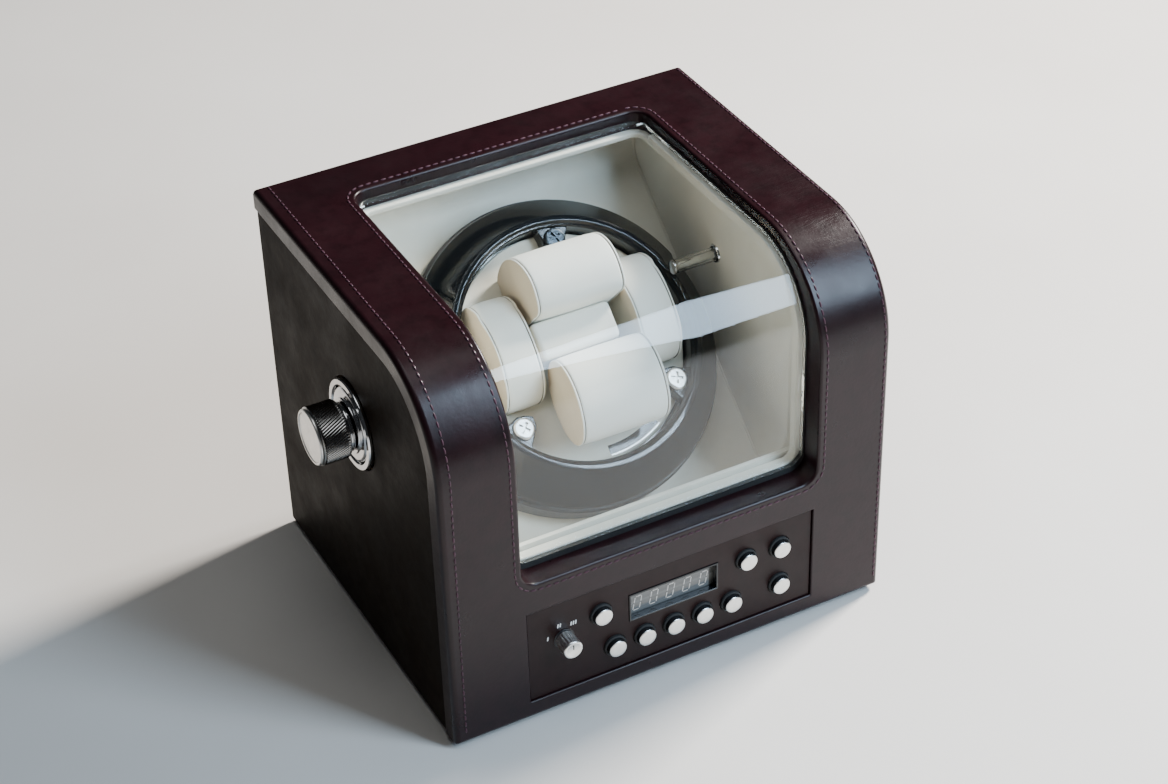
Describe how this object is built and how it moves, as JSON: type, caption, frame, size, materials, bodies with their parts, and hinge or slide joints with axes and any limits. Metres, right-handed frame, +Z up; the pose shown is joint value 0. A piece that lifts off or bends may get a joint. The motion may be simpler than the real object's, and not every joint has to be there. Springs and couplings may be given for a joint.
{
  "type": "watch winder",
  "caption": "Leather-covered case with a bent glass lid over a tilted turning rotor that holds oval watch cushions, with a side knob and a front panel of buttons and a display.",
  "frame": {"origin": "middle of the bounding box, at the plane the feet stand on", "axes": "-Y out of the front with the control panel, -X out of the left side with the large knob, +Z up"},
  "size_m": [0.2726, 0.219, 0.217],
  "materials": {
    "leather_cover": "smooth burgundy leather, semi-gloss",
    "leather_side": "smooth brown leather",
    "carcass_board": "raw board",
    "suede": "cream microfibre suede",
    "black_gloss": "polished black",
    "black_plastic": "matt black",
    "chrome": "polished",
    "satin_steel": "satin",
    "brass": "machined",
    "nylon": "natural nylon",
    "clear_glass": "clear, polished edges",
    "rubber": "matt black",
    "display": "grey display",
    "circuit_board": "green solder mask"
  },
  "bodies": {
    "case": {"top_front_cover": "leather_cover", "carcass": "carcass_board", "left_side_panel": "leather_side", "right_side_panel": "leather_side", "back_panel": "leather_side", "service_cover": "black_plastic", "power_inlet": "black_plastic", "base_plate": "black_plastic", "foot_front_left": "rubber", "foot_back_left": "rubber", "foot_front_right": "rubber", "foot_back_right": "rubber", "hinge_pin_left": "satin_steel", "hinge_pin_right": "satin_steel", "interior_liner": "suede", "liner_left": "suede", "liner_right": "suede", "lamp_tube": "clear_glass", "lamp_core": "chrome", "rotor_base": "black_gloss", "rotor_bearing": "brass", "gear_motor": "satin_steel", "motor_mount": "satin_steel", "knob_bezel": "chrome", "knob_escutcheon": "chrome", "knob_control": "satin_steel", "control_plate": "leather_side", "button_collars": "rubber", "display_bezel": "black_gloss", "display_panel": "display", "circuit_board": "circuit_board", "selector_switch": "black_plastic"},
    "lid": {"glass_lid": "clear_glass"},
    "rotor": {"rotor_shaft": "satin_steel", "rotor_plate": "satin_steel", "rotor_ring": "black_gloss", "rotor_disc": "suede", "ring_screw_1": "satin_steel", "ring_screw_2": "satin_steel", "ring_screw_3": "satin_steel", "hub_block": "suede", "drive_gear": "nylon"},
    "pinion": {"motor_pinion": "brass"},
    "cushion_top": {"cushion_top": "suede"},
    "cushion_bottom": {"cushion_bottom": "suede"},
    "cushion_left": {"cushion_left": "suede"},
    "cushion_right": {"cushion_right": "suede"},
    "side_knob": {"knob_shaft": "chrome", "knob_grip": "chrome", "knob_cap": "chrome"},
    "selector": {"selector_knob": "satin_steel"},
    "button_1": {"button_1": "satin_steel"},
    "button_2": {"button_2": "satin_steel"},
    "button_3": {"button_3": "satin_steel"},
    "button_4": {"button_4": "satin_steel"},
    "button_5": {"button_5": "satin_steel"},
    "button_6": {"button_6": "satin_steel"},
    "button_7": {"button_7": "satin_steel"},
    "button_8": {"button_8": "satin_steel"},
    "button_9": {"button_9": "satin_steel"}
  },
  "joints": [
    {"name": "rotor_spin", "type": "hinge", "parent": "case", "child": "rotor", "pos_m": [0.01125, 0.0096, 0.1318], "axis": [0, -0.6691, 0.7431], "continuous": true},
    {"name": "pinion_spin", "type": "hinge", "parent": "case", "child": "pinion", "pos_m": [0.04175, 0.0096, 0.1318], "axis": [0, -0.6691, 0.7431], "continuous": true},
    {"name": "lid_hinge", "type": "hinge", "parent": "case", "child": "lid", "pos_m": [0.01125, 0.0745, 0.21], "axis": [-1, 0, 0], "range_deg": [0, 75]},
    {"name": "cushion_top_lift", "type": "slide", "parent": "rotor", "child": "cushion_top", "axis": [0, -0.6691, 0.7431], "range_m": [0, 0.014]},
    {"name": "cushion_bottom_lift", "type": "slide", "parent": "rotor", "child": "cushion_bottom", "axis": [0, -0.6691, 0.7431], "range_m": [0, 0.02]},
    {"name": "cushion_left_lift", "type": "slide", "parent": "rotor", "child": "cushion_left", "axis": [0, -0.6691, 0.7431], "range_m": [0, 0.02]},
    {"name": "cushion_right_lift", "type": "slide", "parent": "rotor", "child": "cushion_right", "axis": [0, -0.6691, 0.7431], "range_m": [0, 0.02]},
    {"name": "side_knob_turn", "type": "hinge", "parent": "case", "child": "side_knob", "pos_m": [-0.10995, 0.0015, 0.138], "axis": [-1, 0, 0], "range_deg": [-150, 150]},
    {"name": "selector_turn", "type": "hinge", "parent": "case", "child": "selector", "pos_m": [-0.05075, -0.099, 0.0465], "axis": [0, -1, 0], "range_deg": [-30, 30]},
    {"name": "button_1_press", "type": "slide", "parent": "case", "child": "button_1", "axis": [0, 1, 0], "range_m": [0, 0.0015], "stiffness_N_per_m": 400, "springref_m": -0.0005},
    {"name": "button_2_press", "type": "slide", "parent": "case", "child": "button_2", "axis": [0, 1, 0], "range_m": [0, 0.0015], "stiffness_N_per_m": 400, "springref_m": -0.0005},
    {"name": "button_3_press", "type": "slide", "parent": "case", "child": "button_3", "axis": [0, 1, 0], "range_m": [0, 0.0015], "stiffness_N_per_m": 400, "springref_m": -0.0005},
    {"name": "button_4_press", "type": "slide", "parent": "case", "child": "button_4", "axis": [0, 1, 0], "range_m": [0, 0.0015], "stiffness_N_per_m": 400, "springref_m": -0.0005},
    {"name": "button_5_press", "type": "slide", "parent": "case", "child": "button_5", "axis": [0, 1, 0], "range_m": [0, 0.0015], "stiffness_N_per_m": 400, "springref_m": -0.0005},
    {"name": "button_6_press", "type": "slide", "parent": "case", "child": "button_6", "axis": [0, 1, 0], "range_m": [0, 0.0015], "stiffness_N_per_m": 400, "springref_m": -0.0005},
    {"name": "button_7_press", "type": "slide", "parent": "case", "child": "button_7", "axis": [0, 1, 0], "range_m": [0, 0.0015], "stiffness_N_per_m": 400, "springref_m": -0.0005},
    {"name": "button_8_press", "type": "slide", "parent": "case", "child": "button_8", "axis": [0, 1, 0], "range_m": [0, 0.0015], "stiffness_N_per_m": 400, "springref_m": -0.0005},
    {"name": "button_9_press", "type": "slide", "parent": "case", "child": "button_9", "axis": [0, 1, 0], "range_m": [0, 0.0015], "stiffness_N_per_m": 400, "springref_m": -0.0005}
  ],
  "couplings": [
    {"joint": "pinion_spin", "follows": "rotor_spin", "ratio": -4}
  ]
}
